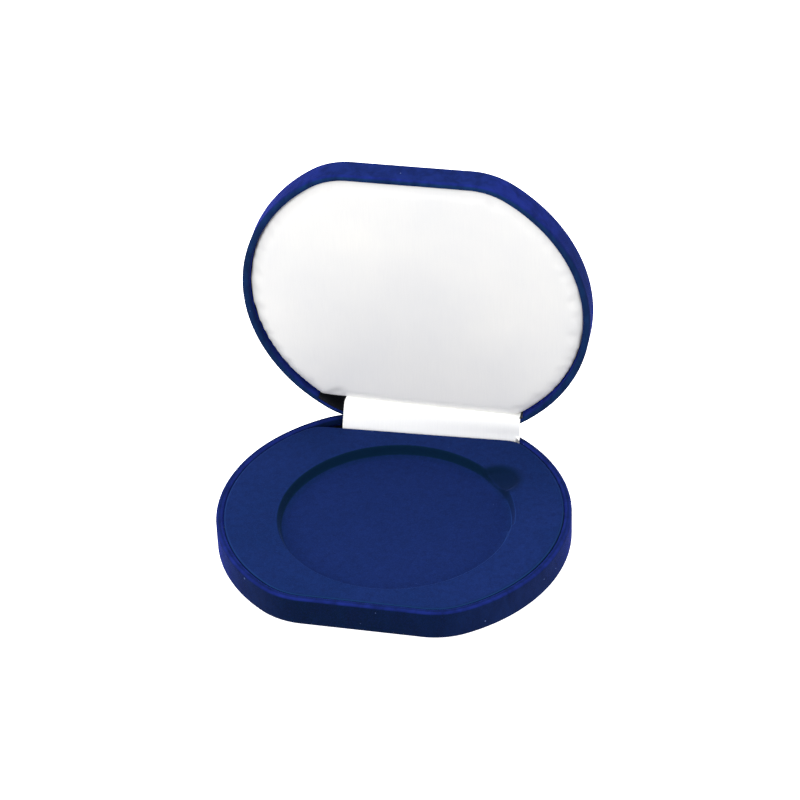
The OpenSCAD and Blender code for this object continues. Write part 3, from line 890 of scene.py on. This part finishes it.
def steel_look():
    m = Look("steel")
    grain = m.noise(m.object, 700, 3, 0.6, 0.0, (0.15, 1, 1))
    stain = m.noise(m.object, 160, 4, 0.6)
    colour = m.ramp(stain, (0.35, srgb(120, 122, 126)), (0.7, srgb(176, 178, 182)))
    m.link(colour, m.shader.inputs["Base Color"])
    m.link(m.span(grain, 0.3, 0.7, 0.24, 0.45), m.shader.inputs["Roughness"])
    m.set(Metallic=1.0)
    m.link(m.bump(grain, 0.15, 0.00008), m.shader.inputs["Normal"])
    return m.mat


def felt_look():
    m = Look("felt")
    blot = m.noise(m.object, 70, 4, 0.65)
    fibre = m.noise(m.object, 1500, 4, 0.75, 1.2)
    colour = m.ramp(blot, (0.3, srgb(10, 16, 44)), (0.7, srgb(18, 26, 62)))
    colour = m.mix(m.span(fibre, 0.5, 0.75, 0.0, 0.6), colour, srgb(40, 50, 96))
    m.link(colour, m.shader.inputs["Base Color"])
    m.set(Roughness=1.0, Sheen_Weight=0.35, Sheen_Roughness=0.5,
          Sheen_Tint=(*srgb(120, 130, 200), 1), Specular_IOR_Level=0.1)
    m.link(m.bump(fibre, 0.6, 0.0003), m.shader.inputs["Normal"])
    return m.mat


def card_look():
    m = Look("card")
    fleck = m.noise(m.object, 900, 4, 0.7)
    colour = m.ramp(fleck, (0.35, srgb(186, 180, 166)), (0.65, srgb(206, 201, 188)))
    m.link(colour, m.shader.inputs["Base Color"])
    m.set(Roughness=0.9)
    m.link(m.bump(fleck, 0.2, 0.0001), m.shader.inputs["Normal"])
    return m.mat


FLOOR_GLOW = 0.9


def floor_look():
    m = Look("floor")
    tone = m.noise(m.object, 3, 2, 0.5)
    colour = m.ramp(tone, (0.3, srgb(250, 250, 250)), (0.7, srgb(252, 252, 252)))
    m.link(colour, m.shader.inputs["Base Color"])
    m.set(Roughness=0.9, Specular_IOR_Level=0.1, Emission_Color=(1, 1, 1, 1),
          Emission_Strength=FLOOR_GLOW)
    return m.mat


# ---- Build ----
# the base's and the lid's velvet are copies of one fabric that differ only in their painted sheen
# and shade
base_pile = velvet_look("base_velvet", srgb(0, 17, 40), False)
lid_pile = velvet_look("lid_velvet", srgb(18, 48, 90), True)
flock = flock_look()
pad_satin_mat = satin_look("satin_pad", 42, srgb(226, 226, 226), srgb(235, 234, 231))
ribbon_mat = satin_look("satin_ribbon", 34, srgb(252, 252, 250), srgb(255, 255, 252))
plastic = plastic_look()
steel = steel_look()
felt = felt_look()
card = card_look()

CAD_LOOKS = {
    "base_shell": plastic, "lid_shell": plastic, "base_underside": felt,
    "recess_support": card, "pad_board": card, "base_hinge_leaf": steel,
    "base_hinge_rivets": steel, "hinge_pin": steel, "hinge_spring": steel,
    "lid_hinge_leaf": steel, "lid_hinge_rivets": steel,
}
for name, mat in CAD_LOOKS.items():
    mesh = frame["nodes"][name].data
    if not mesh.materials:
        mesh.materials.append(mat)
    for i in range(len(mesh.materials)):
        mesh.materials[i] = mat

base_cloth = base_velvet()
base_cloth.data.materials.append(base_pile)
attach(base_cloth, "base")
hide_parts("base_cover")

lid_cloth = lid_velvet()
lid_cloth.data.materials.append(lid_pile)
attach(lid_cloth, "lid")
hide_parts("lid_cover")

tray = flocked_tray()
tray.data.materials.append(flock)
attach(tray, "base")
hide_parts("tray_insert")

pad = satin_pad()
pad.data.materials.append(pad_satin_mat)
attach(pad, "lid")
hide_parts("pad_satin", "pad_foam")

ribbon, ribbon_from, ribbon_to, ribbon_len = satin_ribbon()
ribbon.data.materials.append(ribbon_mat)
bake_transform(ribbon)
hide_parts("hinge_ribbon")

spring = snap_spring()
spring.data.materials.append(steel)
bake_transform(spring)
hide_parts("hinge_spring")

# ---- Floor ----
FLOOR_HALF = 1.6
FLOOR_DOWN = 0.00005     # it lies this far below the case's lowest face
floor_mesh = bpy.data.meshes.new("floor")
floor_mesh.from_pydata([(-FLOOR_HALF, -FLOOR_HALF, 0), (FLOOR_HALF, -FLOOR_HALF, 0),
                        (FLOOR_HALF, FLOOR_HALF * 2, 0), (-FLOOR_HALF, FLOOR_HALF * 2, 0)],
                       [], [(0, 1, 2, 3)])
floor = bpy.data.objects.new("floor", floor_mesh)
bpy.context.scene.collection.objects.link(floor)
floor.data.materials.append(floor_look())
floor.location.z = -FLOOR_DOWN
floor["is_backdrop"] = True
floor.visible_diffuse = False      # it must not tint the object from below

# ---- Light ----
WORLD = 0.80             # strength of the even light from all round
world = bpy.data.worlds.new("studio")
bpy.context.scene.world = world
world.use_nodes = True
back = world.node_tree.nodes["Background"]
back.inputs["Color"].default_value = (1, 1, 1, 1)
back.inputs["Strength"].default_value = WORLD


def soft_light(name, place, aim, size, power):
    data = bpy.data.lights.new(name, "AREA")
    data.shape = "RECTANGLE"
    data.size, data.size_y = size
    data.energy = power
    obj = bpy.data.objects.new(name, data)
    bpy.context.scene.collection.objects.link(obj)
    obj.location = place
    obj.rotation_euler = (Vector(aim) - Vector(place)).to_track_quat("-Z", "Y").to_euler()


soft_light("top", (-0.1, 0.15, 0.9), (0, 0.02, 0.03), (0.9, 0.7), 6.5)
soft_light("left", (-0.9, -0.1, 0.5), (0, 0, 0.05), (0.5, 0.6), 2.4)
soft_light("right", (0.95, 0.05, 0.5), (0, 0, 0.05), (0.5, 0.6), 2.6)
soft_light("front", (0.0, -1.05, 0.75), (0, 0.04, 0.05), (1.1, 0.7), 9.6)

# ---- Camera: the photograph's viewpoint, fitted to the outlines of base, lid and recess ----
CAM_AT = Vector((0.15169, -0.64051, 0.50882))
CAM_SENSOR, CAM_LENS = 36, 121.86
CAM_AZ, CAM_EL, CAM_ROLL = math.radians(13.047), math.radians(34.893), math.radians(-2.17)
ahead = Vector((-math.sin(CAM_AZ) * math.cos(CAM_EL), math.cos(CAM_AZ) * math.cos(CAM_EL),
                -math.sin(CAM_EL)))
level = Vector((math.cos(CAM_AZ), math.sin(CAM_AZ), 0))
upward = level.cross(ahead)
right = level * math.cos(CAM_ROLL) + upward * math.sin(CAM_ROLL)
above = right.cross(ahead)
cam_data = bpy.data.cameras.new("camera")
cam_data.sensor_width = CAM_SENSOR
cam_data.lens = CAM_LENS
cam_data.clip_start = 0.05
cam = bpy.data.objects.new("camera", cam_data)
bpy.context.scene.collection.objects.link(cam)
cam.matrix_world = Matrix((
    (right.x, above.x, -ahead.x, CAM_AT.x),
    (right.y, above.y, -ahead.y, CAM_AT.y),
    (right.z, above.z, -ahead.z, CAM_AT.z),
    (0, 0, 0, 1)))
bpy.context.scene.camera = cam
bpy.context.scene.view_settings.view_transform = "Standard"
bpy.context.scene.view_settings.look = "None"


def plain(value):
    if isinstance(value, (int, float)):
        return float(value)
    if isinstance(value, dict):
        return {k: plain(v) for k, v in value.items()}
    return [plain(v) for v in value]


plain(cad_bounds)
plain(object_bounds())
